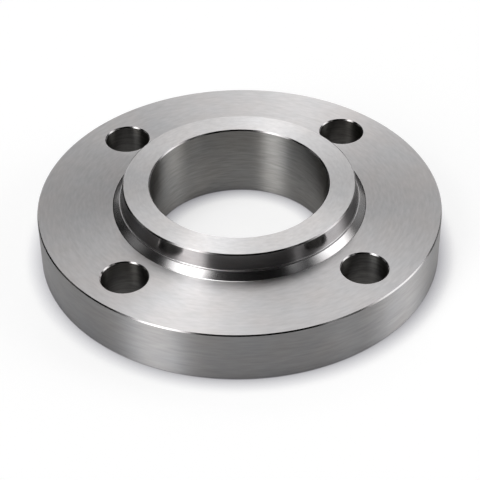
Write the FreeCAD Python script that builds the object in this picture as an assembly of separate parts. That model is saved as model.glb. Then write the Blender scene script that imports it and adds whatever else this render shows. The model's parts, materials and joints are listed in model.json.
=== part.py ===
import FreeCAD, Part
import math
import os

# Slip-on pipe flange with a short tapered hub, turned and drilled from one steel forging.
# All sizes are in millimetres. The origin is the middle of the flat underside, and the
# axis of the bore is +Z, so the flange lies on its gasket face with the hub on top.

# Radial sizes, outward from the bore
pipe_diameter = 76.1            # outside of the pipe that slips into the flange
pipe_clearance = 1.4            # bore diameter less pipe diameter
hub_wall = 11.75                # wall at the hub's end face, before its chamfer
neck_spread = 1.25              # growth in radius down the tapered neck
ledge_width = 0.6               # narrow ledge where the neck meets the skirt
skirt_spread = 2.75             # growth in radius down the sloping skirt
bolt_land = 5.15                # flat between the skirt and the wall of a bolt hole
bolt_hole_diameter = 19.5
rim_land = 8.25                 # flat between the wall of a bolt hole and the rim

# Heights, upward from the gasket face
flange_thickness = 23.8
skirt_height = 2.55
ledge_step = 0.45               # short upright face between the skirt and the ledge
neck_height = 7.2

# Bolting
bolt_hole_count = 4
first_hole_angle = 45.0         # degrees from +X, so that the holes straddle the centre lines

# Broken edges and small rounds
rim_chamfer = 0.5               # both edges of the rim
hub_chamfer = 0.5               # outer edge of the hub's end face
bore_chamfer = 0.55             # both mouths of the bore
bolt_hole_chamfer = 0.5         # both mouths of each bolt hole
neck_round = 0.3                # tool radius at the foot of the neck
skirt_round = 0.6               # tool radius at the foot of the skirt

# Sizes worked out from the ones above
bore_radius = (pipe_diameter + pipe_clearance) / 2
hub_end_radius = bore_radius + hub_wall
neck_foot_radius = hub_end_radius + neck_spread
ledge_radius = neck_foot_radius + ledge_width
skirt_foot_radius = ledge_radius + skirt_spread
bolt_hole_radius = bolt_hole_diameter / 2
bolt_circle_radius = skirt_foot_radius + bolt_land + bolt_hole_radius
flange_radius = bolt_circle_radius + bolt_hole_radius + rim_land
ledge_level = flange_thickness + skirt_height + ledge_step
overall_height = ledge_level + neck_height
overrun = 5.0                   # length by which a cutter passes the faces that it cuts

plain, bevel, round_off = "plain", "bevel", "round_off"


def trimmed_corner(before, corner, after, style, size):
    """Where the corner's two edges stop, and the edge that joins them."""
    towards_before = (before - corner).normalize()
    towards_after = (after - corner).normalize()
    if style == bevel:
        start = corner + towards_before * size
        end = corner + towards_after * size
        return start, end, Part.LineSegment(start, end).toShape()
    half_angle = towards_before.getAngle(towards_after) / 2
    setback = size / math.tan(half_angle)
    start = corner + towards_before * setback
    end = corner + towards_after * setback
    inward = (towards_before + towards_after).normalize()
    centre = corner + inward * (size / math.sin(half_angle))
    middle = centre - inward * size
    return start, end, Part.Arc(start, middle, end).toShape()


def turned(corners):
    """Solid of revolution about Z of a closed outline of (radius, height, style, size)."""
    points = [FreeCAD.Vector(radius, 0, height) for radius, height, _, _ in corners]
    pieces = []
    for index, (_, _, style, size) in enumerate(corners):
        corner = points[index]
        if style == plain:
            pieces.append((corner, corner, None))
            continue
        before = points[index - 1]
        after = points[(index + 1) % len(points)]
        pieces.append(trimmed_corner(before, corner, after, style, size))
    edges = []
    for index, (_, end, joint) in enumerate(pieces):
        next_start = pieces[(index + 1) % len(pieces)][0]
        if joint is not None:
            edges.append(joint)
        edges.append(Part.LineSegment(end, next_start).toShape())
    face = Part.Face(Part.Wire(edges))
    return face.revolve(FreeCAD.Vector(0, 0, 0), FreeCAD.Vector(0, 0, 1), 360)


def flange_blank():
    """The turned body: flat gasket face, straight rim, flat back and tapered hub."""
    return turned([
        (bore_radius, 0, bevel, bore_chamfer),
        (flange_radius, 0, bevel, rim_chamfer),
        (flange_radius, flange_thickness, bevel, rim_chamfer),
        (skirt_foot_radius, flange_thickness, round_off, skirt_round),
        (ledge_radius, flange_thickness + skirt_height, plain, 0),
        (ledge_radius, ledge_level, plain, 0),
        (neck_foot_radius, ledge_level, round_off, neck_round),
        (hub_end_radius, overall_height, bevel, hub_chamfer),
        (bore_radius, overall_height, bevel, bore_chamfer),
    ])


def bolt_hole_cutter():
    """A drill through the flange with a chamfering cone at each face, on the Z axis."""
    flare_radius = bolt_hole_radius + bolt_hole_chamfer + overrun
    return turned([
        (0, -overrun, plain, 0),
        (flare_radius, -overrun, plain, 0),
        (bolt_hole_radius, bolt_hole_chamfer, plain, 0),
        (bolt_hole_radius, flange_thickness - bolt_hole_chamfer, plain, 0),
        (flare_radius, flange_thickness + overrun, plain, 0),
        (0, flange_thickness + overrun, plain, 0),
    ])


def drilled(blank):
    """The blank with its ring of bolt holes, evenly spaced on the bolt circle."""
    cutters = []
    for index in range(bolt_hole_count):
        angle = math.radians(first_hole_angle + index * 360 / bolt_hole_count)
        cutter = bolt_hole_cutter()
        cutter.translate(FreeCAD.Vector(
            bolt_circle_radius * math.cos(angle),
            bolt_circle_radius * math.sin(angle),
            0,
        ))
        cutters.append(cutter)
    return blank.cut(cutters)


os.makedirs("parts", exist_ok=True)
flange = drilled(flange_blank())
solids = flange.Solids
print("flange: %d solid, %.1f cm3, %.1f mm across, %.1f mm high" % (
    len(solids), flange.Volume / 1000, flange.BoundBox.XLength, flange.BoundBox.ZLength))
solids[0].exportStep("parts/flange.step")
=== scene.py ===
import json
import math

import bmesh
import bpy
from mathutils import Matrix, Quaternion, Vector


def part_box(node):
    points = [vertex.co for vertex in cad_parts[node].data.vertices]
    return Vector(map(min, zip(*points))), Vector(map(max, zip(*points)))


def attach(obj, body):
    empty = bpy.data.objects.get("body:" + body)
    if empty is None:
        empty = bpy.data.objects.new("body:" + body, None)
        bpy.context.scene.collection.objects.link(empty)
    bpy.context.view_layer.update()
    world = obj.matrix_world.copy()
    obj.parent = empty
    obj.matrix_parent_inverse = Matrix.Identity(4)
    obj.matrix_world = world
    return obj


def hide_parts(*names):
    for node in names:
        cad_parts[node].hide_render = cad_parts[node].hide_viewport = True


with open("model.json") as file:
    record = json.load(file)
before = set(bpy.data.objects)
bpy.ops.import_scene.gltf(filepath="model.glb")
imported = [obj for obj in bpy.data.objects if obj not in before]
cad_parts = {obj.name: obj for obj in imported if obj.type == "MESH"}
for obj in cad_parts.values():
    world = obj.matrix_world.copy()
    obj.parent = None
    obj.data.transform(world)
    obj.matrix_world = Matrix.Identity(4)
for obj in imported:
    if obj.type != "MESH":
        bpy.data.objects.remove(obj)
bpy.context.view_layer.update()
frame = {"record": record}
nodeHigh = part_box("flange")[1]
mounts = {mount["name"]: mount for mount in frame["record"]["mounts"]}
mm = 0.001


# The turned body: what the frame knows is read from it

flange = {
    "rimRadius": nodeHigh[0],
    "height": nodeHigh[2],
    "boreRadius": mounts["pipe_bore"]["dims"]["r_mm"] * mm,
    "thickness": 23.8 * mm,
    "hubEndRadius": 50.5 * mm,
    "neckFootRadius": 51.75 * mm,
    "ledgeRadius": 52.35 * mm,
    "skirtFootRadius": 55.1 * mm,
    "skirtHeight": 2.55 * mm,
    "ledgeStep": 0.45 * mm,
    "rimChamfer": 0.5 * mm,
    "hubChamfer": 0.5 * mm,
    "boreChamfer": 0.55 * mm,
    "neckRound": 0.3 * mm,
    "skirtRound": 0.6 * mm,
    "roundSegments": 5,
    "turns": 384,
}

boltHoles = {
    "circleRadius": mounts["bolt_holes"]["dims"]["pcd_mm"] / 2 * mm,
    "radius": mounts["bolt_holes"]["dims"]["hole_r_mm"] * mm,
    "count": mounts["bolt_holes"]["dims"]["count"],
    "firstAngle": math.radians(45),
    "chamfer": 0.5 * mm,
    "overrun": 3 * mm,
    "sides": 120,
}

meshing = {
    "mergeDistance": 1e-7,
    "edgeReach": 0.01 * mm,
    "crispAngle": math.radians(24),
}

# A face gets its finish from its tilt, which is its normal's z, and from the sizes it lies near

sorting = {
    "uprightTilt": 0.05,
    "neckTilt": 0.3,
    "levelTilt": 0.95,
    "backTilt": 0.98,
    "reach": 0.1 * mm,
    "neckReach": 0.05 * mm,
    "skirtToRim": 5 * mm,
}

finishNames = ["facedBack", "hubEnd", "turnedNeck", "turnedSkirt", "brightEdge", "satinRim",
               "boredWall", "drilledWall", "gasketFace"]
finishIndex = {name: i for i, name in enumerate(finishNames)}


def spinOutline(points, steps):
    bm = bmesh.new()
    verts = [bm.verts.new((radius, 0, height)) for radius, height in points]
    edges = [bm.edges.new((verts[i - 1], verts[i])) for i in range(len(verts))]
    bmesh.ops.spin(bm, geom=verts + edges, cent=(0, 0, 0), axis=(0, 0, 1), dvec=(0, 0, 0),
                   angle=2 * math.pi, steps=steps, use_merge=True, use_duplicate=False)
    bmesh.ops.remove_doubles(bm, verts=bm.verts, dist=meshing["mergeDistance"])
    bmesh.ops.recalc_face_normals(bm, faces=bm.faces)
    return bm


def breakEdge(bm, corner, setback, segments=1):
    radius, height = corner
    near = meshing["edgeReach"]
    onCorner = {v for v in bm.verts
                if abs(v.co.z - height) < near and abs(v.co.xy.length - radius) < near}
    ring = [e for e in bm.edges if onCorner.issuperset(e.verts)]
    bmesh.ops.bevel(bm, geom=ring, offset=setback, offset_type="OFFSET", segments=segments,
                    profile=0.5, affect="EDGES", material=-1)


def roundSetback(radius, before, corner, after):
    toBefore = Vector(before) - Vector(corner)
    toAfter = Vector(after) - Vector(corner)
    return radius / math.tan(toBefore.angle(toAfter) / 2)


def finishOf(face):
    centre = face.calc_center_median()
    radius = centre.xy.length
    tilt = face.normal.z
    if tilt < -sorting["levelTilt"]:
        return "gasketFace"
    if tilt > sorting["levelTilt"] and centre.z > flange["height"] - sorting["reach"]:
        return "hubEnd"
    if tilt > sorting["backTilt"]:
        return "facedBack"
    if abs(tilt) < sorting["uprightTilt"]:
        if radius > flange["rimRadius"] - sorting["reach"]:
            return "satinRim"
        if radius < flange["boreRadius"] + sorting["reach"]:
            return "boredWall"
    neckLow = (flange["thickness"] + flange["skirtHeight"] + flange["ledgeStep"]
               + flange["neckRound"])
    overNeck = centre.z > neckLow and radius > flange["hubEndRadius"] - sorting["neckReach"]
    if overNeck and abs(tilt) < sorting["neckTilt"]:
        return "turnedNeck"
    besideHub = flange["hubEndRadius"] < radius < flange["rimRadius"] - sorting["skirtToRim"]
    if besideHub and centre.z > flange["thickness"]:
        return "turnedSkirt"
    return "brightEdge"


def addObject(name, bm):
    mesh = bpy.data.meshes.new(name)
    bm.to_mesh(mesh)
    bm.free()
    made = bpy.data.objects.new(name, mesh)
    bpy.context.collection.objects.link(made)
    return made


def turnBody():
    f = flange
    skirtTop = f["thickness"] + f["skirtHeight"]
    ledgeLevel = skirtTop + f["ledgeStep"]
    boreFoot = (f["boreRadius"], 0)
    rimFoot = (f["rimRadius"], 0)
    rimTop = (f["rimRadius"], f["thickness"])
    skirtFoot = (f["skirtFootRadius"], f["thickness"])
    skirtHead = (f["ledgeRadius"], skirtTop)
    ledgeEdge = (f["ledgeRadius"], ledgeLevel)
    neckFoot = (f["neckFootRadius"], ledgeLevel)
    hubEdge = (f["hubEndRadius"], f["height"])
    boreHead = (f["boreRadius"], f["height"])
    skirtSetback = roundSetback(f["skirtRound"], rimTop, skirtFoot, skirtHead)
    neckSetback = roundSetback(f["neckRound"], ledgeEdge, neckFoot, hubEdge)
    bm = spinOutline([boreFoot, rimFoot, rimTop, skirtFoot, skirtHead, ledgeEdge, neckFoot,
                      hubEdge, boreHead], f["turns"])
    breakEdge(bm, rimFoot, f["rimChamfer"])
    breakEdge(bm, rimTop, f["rimChamfer"])
    breakEdge(bm, hubEdge, f["hubChamfer"])
    breakEdge(bm, boreFoot, f["boreChamfer"])
    breakEdge(bm, boreHead, f["boreChamfer"])
    breakEdge(bm, skirtFoot, skirtSetback, f["roundSegments"])
    breakEdge(bm, neckFoot, neckSetback, f["roundSegments"])
    bm.normal_update()
    for face in bm.faces:
        face.material_index = finishIndex[finishOf(face)]
    return addObject("turnedFlange", bm)


def drillTool():
    h = boltHoles
    flare = h["radius"] + h["chamfer"] + h["overrun"]
    low, high = -h["overrun"], flange["thickness"] + h["overrun"]
    outline = [(0, low), (flare, low), (h["radius"], h["chamfer"]),
               (h["radius"], flange["thickness"] - h["chamfer"]), (flare, high), (0, high)]
    tool = bmesh.new()
    for i in range(h["count"]):
        angle = h["firstAngle"] + i * 2 * math.pi / h["count"]
        middle = (h["circleRadius"] * math.cos(angle), h["circleRadius"] * math.sin(angle), 0)
        drill = spinOutline(outline, h["sides"])
        for face in drill.faces:
            upright = abs(face.normal.z) < sorting["uprightTilt"]
            face.material_index = finishIndex["drilledWall" if upright else "brightEdge"]
        bmesh.ops.translate(drill, verts=drill.verts, vec=middle)
        mesh = bpy.data.meshes.new("drill")
        drill.to_mesh(mesh)
        drill.free()
        tool.from_mesh(mesh)
        bpy.data.meshes.remove(mesh)
    return addObject("drillTool", tool)


def crispEdges(mesh):
    bm = bmesh.new()
    bm.from_mesh(mesh)
    for face in bm.faces:
        face.smooth = True
    for edge in bm.edges:
        finishes = [face.material_index for face in edge.link_faces]
        oneFinish = len(finishes) == 2 and finishes[0] == finishes[1]
        edge.smooth = oneFinish and edge.calc_face_angle(0) < meshing["crispAngle"]
    bm.to_mesh(mesh)
    bm.free()


body = turnBody()
tool = drillTool()
for obj in (body, tool):
    for name in finishNames:
        obj.data.materials.append(bpy.data.materials.get(name) or bpy.data.materials.new(name))
cut = body.modifiers.new("boltHoles", "BOOLEAN")
cut.operation = "DIFFERENCE"
cut.solver = "EXACT"
cut.object = tool
drilled = body.evaluated_get(bpy.context.evaluated_depsgraph_get())
drilledMesh = bpy.data.meshes.new_from_object(drilled)
body.modifiers.clear()
body.data = drilledMesh
bpy.data.objects.remove(tool)
crispEdges(body.data)
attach(body, "root")
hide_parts("flange")
print("flange turned and drilled:", len(body.data.polygons), "faces")


# Shader helpers

def addNode(tree, kind, inputs=None, **settings):
    node = tree.nodes.new("ShaderNode" + kind)
    for name, value in settings.items():
        setattr(node, name, value)
    for slot, value in (inputs or {}).items():
        if isinstance(value, bpy.types.NodeSocket):
            tree.links.new(value, node.inputs[slot])
        else:
            node.inputs[slot].default_value = value
    return node


def mathOn(tree, operation, *values):
    return addNode(tree, "Math", dict(enumerate(values)), operation=operation).outputs[0]


def vectorOn(tree, operation, *values, result="Vector"):
    node = addNode(tree, "VectorMath", dict(enumerate(values)), operation=operation)
    return node.outputs[result]


def noiseOn(tree, vector, scale, detail):
    inputs = {"Vector": vector, "Scale": scale, "Detail": detail}
    return addNode(tree, "TexNoise", inputs).outputs["Fac"]


def mixColours(tree, share, first, second):  # slots 6 and 7 take colours, output 2 gives one
    inputs = {0: share, 6: first, 7: second}
    return addNode(tree, "Mix", inputs, data_type="RGBA").outputs[2]


def swing(tree, value, amount, middle=1):  # noise of 0 to 1 becomes middle, give or take amount
    return mathOn(tree, "MULTIPLY_ADD", value, 2 * amount, middle - amount)


def grey(level):
    return (level, level, level, 1)


# Steel finishes: one metal, marked by the tool that cut it, whose tone is set lighter or darker by
# face as painted light and shade. The fine marks of a finish have its pitch and depth in mm and
# its stretch around the axis, the broad ones are so many times wider and longer, and soft clouds
# turn the colour from cool to warm

toolMarks = {
    "fineDetail": 4,
    "broadDetail": 3,
    "broadWider": 9,
    "broadLonger": 4,
    "cloudScale": 60,
    "cloudDetail": 3,
    "cloudSwing": 1,
    "cloudMiddle": 0.5,
}

steel = {"cool": (0.445, 0.443, 0.45), "warm": (0.465, 0.445, 0.44)}
# Painted light: the hub end's steel is lighter than the disc's, for the light its top face catches
hubSteelPaintedLight = {"cool": (0.525, 0.523, 0.53), "warm": (0.545, 0.525, 0.519)}
# Painted shade: the neck's steel is darker, to dim the light it reflects
neckSteelPaintedShade = {"cool": (0.36, 0.359, 0.365), "warm": (0.378, 0.36, 0.355)}
# Painted shade: the chamfers' steel is darker, to dim their highlights
edgeSteelPaintedShade = {"cool": (0.29, 0.289, 0.294), "warm": (0.306, 0.29, 0.286)}
# Painted shade: the rim's steel is darker, for a darker reflection along its side
rimSteelPaintedShade = {"cool": (0.335, 0.335, 0.342), "warm": (0.351, 0.339, 0.334)}
# Painted shade: the bore's steel is darker, for the shade inside it
boreSteelPaintedShade = {"cool": (0.286, 0.286, 0.282), "warm": (0.302, 0.29, 0.274)}
# Painted shade: the drilled walls' steel is much darker, for the shade inside the bolt holes
holeSteelPaintedShade = {"cool": (0.14, 0.139, 0.134), "warm": (0.152, 0.143, 0.13)}
rings = {"marks": "rings", "edgeTint": 1, "pitch": 1.1, "stretch": 15, "lineShade": 0.17,
         "bandShade": 0.02, "roughVary": 0.06, "depth": 0.0015}
turned = {"marks": "turned", "edgeTint": 1, "pitch": 1, "stretch": 9, "lineShade": 0.18,
          "bandShade": 0.08, "roughVary": 0.14, "depth": 0.002}
looks = {
    "facedBack": {**rings, **steel, "roughness": 0.3, "anisotropy": 0.85},
    "hubEnd": {**rings, **hubSteelPaintedLight, "roughness": 0.3, "anisotropy": 0.85},
    "turnedNeck": {**turned, **neckSteelPaintedShade, "roughness": 0.14, "anisotropy": 0.75, "depth": 0.012},
    "turnedSkirt": {**turned, **steel, "stretch": 4, "lineShade": 0.05, "roughness": 0.2,
                    "anisotropy": 0.6, "depth": 0.0005},
    "brightEdge": {**turned, **edgeSteelPaintedShade, "roughness": 0.17, "anisotropy": 0.5, "depth": 0.0003},
    "satinRim": {**turned, **rimSteelPaintedShade, "lineShade": 0.22, "roughness": 0.42, "anisotropy": 1},
    # Painted shade: the bore's edge tint of 0.4 dims its reflections at grazing angles, on its
    # sides
    "boredWall": {**turned, **boreSteelPaintedShade, "edgeTint": 0.4, "pitch": 0.9, "stretch": 5,
                  "lineShade": 0.34, "roughVary": 0.1, "roughness": 0.4, "anisotropy": 1},
    "drilledWall": {**turned, **holeSteelPaintedShade, "stretch": 14, "lineShade": 0.6, "roughness": 0.38,
                    "anisotropy": 0.9},
    "gasketFace": {**rings, **steel, "pitch": 0.8, "stretch": 0, "roughness": 0.36,
                   "anisotropy": 0.85, "depth": 0.02},
}


def toolDirections(tree, marks):
    place = addNode(tree, "TexCoord").outputs["Object"]
    flat = vectorOn(tree, "MULTIPLY", place, (1, 1, 0))
    outward = vectorOn(tree, "NORMALIZE", flat)
    if marks == "rings":
        return place, outward, vectorOn(tree, "LENGTH", flat, result="Value"), outward
    upward = addNode(tree, "CombineXYZ", {"Z": 1}).outputs[0]
    return place, outward, addNode(tree, "SeparateXYZ", {0: place}).outputs["Z"], upward


def toolLines(tree, outward, across, pitch, stretch, detail):
    step = addNode(tree, "CombineXYZ", {"Z": mathOn(tree, "DIVIDE", across, pitch)}).outputs[0]
    around = vectorOn(tree, "MULTIPLY_ADD", outward, (stretch, stretch, 0), step)
    return noiseOn(tree, around, 1, detail)


def steelFinish(name, look):
    material = bpy.data.materials[name]
    material.use_nodes = True
    tree = material.node_tree
    tree.nodes.clear()
    place, outward, across, tangent = toolDirections(tree, look["marks"])
    pitch, stretch = look["pitch"] * mm, look["stretch"]
    fine = toolLines(tree, outward, across, pitch, stretch, toolMarks["fineDetail"])
    broad = toolLines(tree, outward, across, pitch * toolMarks["broadWider"],
                      stretch / toolMarks["broadLonger"], toolMarks["broadDetail"])
    cloud = noiseOn(tree, place, toolMarks["cloudScale"], toolMarks["cloudDetail"])
    warmth = swing(tree, cloud, toolMarks["cloudSwing"], toolMarks["cloudMiddle"])
    tint = mixColours(tree, warmth, (*look["cool"], 1), (*look["warm"], 1))
    shade = mathOn(tree, "MULTIPLY", swing(tree, fine, look["lineShade"]),
                   swing(tree, broad, look["bandShade"]))
    colour = addNode(tree, "VectorMath", {0: tint, "Scale": shade}, operation="SCALE").outputs[0]
    roughness = mathOn(tree, "MULTIPLY", swing(tree, broad, look["roughVary"]),
                       look["roughness"])
    bump = addNode(tree, "Bump", {"Height": fine, "Distance": look["depth"] * mm,
                                  "Strength": 1}).outputs[0]
    shader = addNode(tree, "BsdfPrincipled", {
        "Base Color": colour,
        "Metallic": 1,
        "Roughness": roughness,
        "Anisotropic": look["anisotropy"],
        "Specular Tint": grey(look["edgeTint"]),
        "Normal": bump,
        "Tangent": tangent,
    })
    addNode(tree, "OutputMaterial", {"Surface": shader.outputs[0]})


for finish, look in looks.items():
    steelFinish(finish, look)
print("steel finishes:", len(looks))


# Floor: white paper whose glow fades next to the flange, as a painted tight soft shadow

paper = {
    "radius": 6,
    "segments": 96,
    "drop": 0.02 * mm,
    "white": 0.36,
    "glow": 0.69,
    "contactReach": 8.5 * mm,
    "contactDepth": 1.15,
    "paintedShadowTint": (0.9, 0.89, 1, 1),
}


def paperFloor():
    bm = bmesh.new()
    bmesh.ops.create_circle(bm, cap_ends=True, segments=paper["segments"],
                            radius=paper["radius"],
                            matrix=Matrix.Translation((0, 0, -paper["drop"])))
    floor = addObject("floor", bm)
    material = bpy.data.materials.new("paper")
    material.use_nodes = True
    tree = material.node_tree
    tree.nodes.clear()
    ray = addNode(tree, "LightPath").outputs
    seen = mathOn(tree, "MAXIMUM", ray["Is Camera Ray"], ray["Is Glossy Ray"])
    seen = mathOn(tree, "MAXIMUM", seen, ray["Is Transmission Ray"])
    sheet = addNode(tree, "BsdfDiffuse", {"Color": grey(paper["white"])}).outputs[0]
    # Painted shadow: ambient occlusion dims the paper's glow next to the flange and turns it
    # slightly bluish there
    openness = addNode(tree, "AmbientOcclusion", {"Distance": paper["contactReach"]})
    contact = mathOn(tree, "POWER", openness.outputs["AO"], paper["contactDepth"])
    tint = mixColours(tree, contact, paper["paintedShadowTint"], grey(1))
    strength = mathOn(tree, "MULTIPLY", mathOn(tree, "MULTIPLY", seen, contact), paper["glow"])
    glow = addNode(tree, "Emission", {"Color": tint, "Strength": strength}).outputs[0]
    surface = addNode(tree, "AddShader", {0: sheet, 1: glow}).outputs[0]
    addNode(tree, "OutputMaterial", {"Surface": surface})
    floor.data.materials.append(material)


paperFloor()
print("floor laid")


# Camera, fitted to the outline of the photographed flange

cameraFit = {
    "azimuth": math.radians(-2),
    "elevation": math.radians(38.792),
    "roll": math.radians(-0.926),
    "distance": 0.63197,
    "aim": Vector((-0.00099, -0.02803, 0.0238)),
    "lens": 112.19,
    "sensor": 36,
}


def placeCamera():
    data = bpy.data.cameras.new("camera")
    data.lens = cameraFit["lens"]
    data.sensor_width = cameraFit["sensor"]
    camera = bpy.data.objects.new("camera", data)
    bpy.context.collection.objects.link(camera)
    azimuth, elevation = cameraFit["azimuth"], cameraFit["elevation"]
    level = math.cos(elevation)
    backward = Vector((math.sin(azimuth) * level, -math.cos(azimuth) * level,
                       math.sin(elevation)))
    turn = backward.to_track_quat("Z", "Y") @ Quaternion((0, 0, 1), cameraFit["roll"])
    stand = cameraFit["aim"] + backward * cameraFit["distance"]
    camera.matrix_world = Matrix.Translation(stand) @ turn.to_matrix().to_4x4()
    bpy.context.scene.camera = camera


placeCamera()
print("camera placed")


# Studio light: soft panels in a dark room. All but the light is in degrees: the azimuth from +X,
# the half width beside it, low and high above the horizon, and the softness of both borders

room = 0.004
panels = {
    "overhead": {"azimuth": 142, "halfWidth": 59, "low": 66, "high": 95,
                 "edge": 3, "fade": 3, "light": 2.6},
    "left lamp": {"azimuth": 223, "halfWidth": 13, "low": 9, "high": 50,
                  "edge": 5, "fade": 10, "light": 4.5},
    "left overhead": {"azimuth": 210, "halfWidth": 16, "low": 40, "high": 61,
                      "edge": 4, "fade": 4, "light": 2.8},
    "top softbox": {"azimuth": 155, "halfWidth": 45, "low": 64, "high": 78,
                    "edge": 3, "fade": 2, "light": 4.5},
    "right window": {"azimuth": 0, "halfWidth": 16, "low": 0, "high": 41,
                     "edge": 10, "fade": 10, "light": 3.2},
    "right fill": {"azimuth": 25, "halfWidth": 17, "low": 35, "high": 64,
                   "edge": 11, "fade": 12, "light": 1},
    "right curtain": {"azimuth": 330, "halfWidth": 3, "low": -6, "high": 64,
                      "edge": 3, "fade": 4, "light": 0.3},
    "right strip": {"azimuth": 321, "halfWidth": 4, "low": -6, "high": 48,
                    "edge": 2, "fade": 3, "light": 0.75},
    "right wall": {"azimuth": 39, "halfWidth": 14, "low": -5, "high": 20,
                   "edge": 2, "fade": 10, "light": 0.37},
    "left wall": {"azimuth": 134, "halfWidth": 16, "low": -5, "high": 13,
                  "edge": 6, "fade": 6, "light": 0.09},
    "back window": {"azimuth": 90, "halfWidth": 25, "low": 39, "high": 62,
                    "edge": 4, "fade": 6, "light": 1.3},
    "back horizon": {"azimuth": 85, "halfWidth": 9, "low": 0, "high": 48,
                     "edge": 3, "fade": 12, "light": 1.1},
    "left strip": {"azimuth": 163, "halfWidth": 9, "low": 20, "high": 34,
                   "edge": 12, "fade": 5, "light": 0.38},
}


def softStep(tree, value, middle, edge):
    return addNode(tree, "MapRange", {"Value": value, "From Min": math.radians(middle - edge),
                                      "From Max": math.radians(middle + edge)},
                   interpolation_type="SMOOTHSTEP").outputs[0]


def studioLight():
    world = bpy.data.worlds.new("studio")
    world.use_nodes = True
    tree = world.node_tree
    tree.nodes.clear()
    facing = addNode(tree, "TexCoord").outputs["Generated"]
    facing = addNode(tree, "SeparateXYZ", {0: facing}).outputs
    around = mathOn(tree, "ARCTAN2", facing["Y"], facing["X"])
    height = mathOn(tree, "ARCSINE", facing["Z"])
    total = room
    for panel in panels.values():
        away = mathOn(tree, "SUBTRACT", around, math.radians(panel["azimuth"]))
        away = mathOn(tree, "ARCCOSINE", mathOn(tree, "COSINE", away))
        beside = softStep(tree, away, panel["halfWidth"], panel["edge"])
        above = softStep(tree, height, panel["low"], panel["fade"])
        over = softStep(tree, height, panel["high"], panel["fade"])
        shape = mathOn(tree, "MULTIPLY", mathOn(tree, "SUBTRACT", 1, beside),
                       mathOn(tree, "SUBTRACT", above, over))
        total = mathOn(tree, "MULTIPLY_ADD", shape, panel["light"], total)
    background = addNode(tree, "Background", {"Color": grey(1), "Strength": total}).outputs[0]
    addNode(tree, "OutputWorld", {"Surface": background})
    bpy.context.scene.world = world


studioLight()
print("studio light:", len(panels), "panels")
bpy.context.scene.view_settings.view_transform = "Standard"
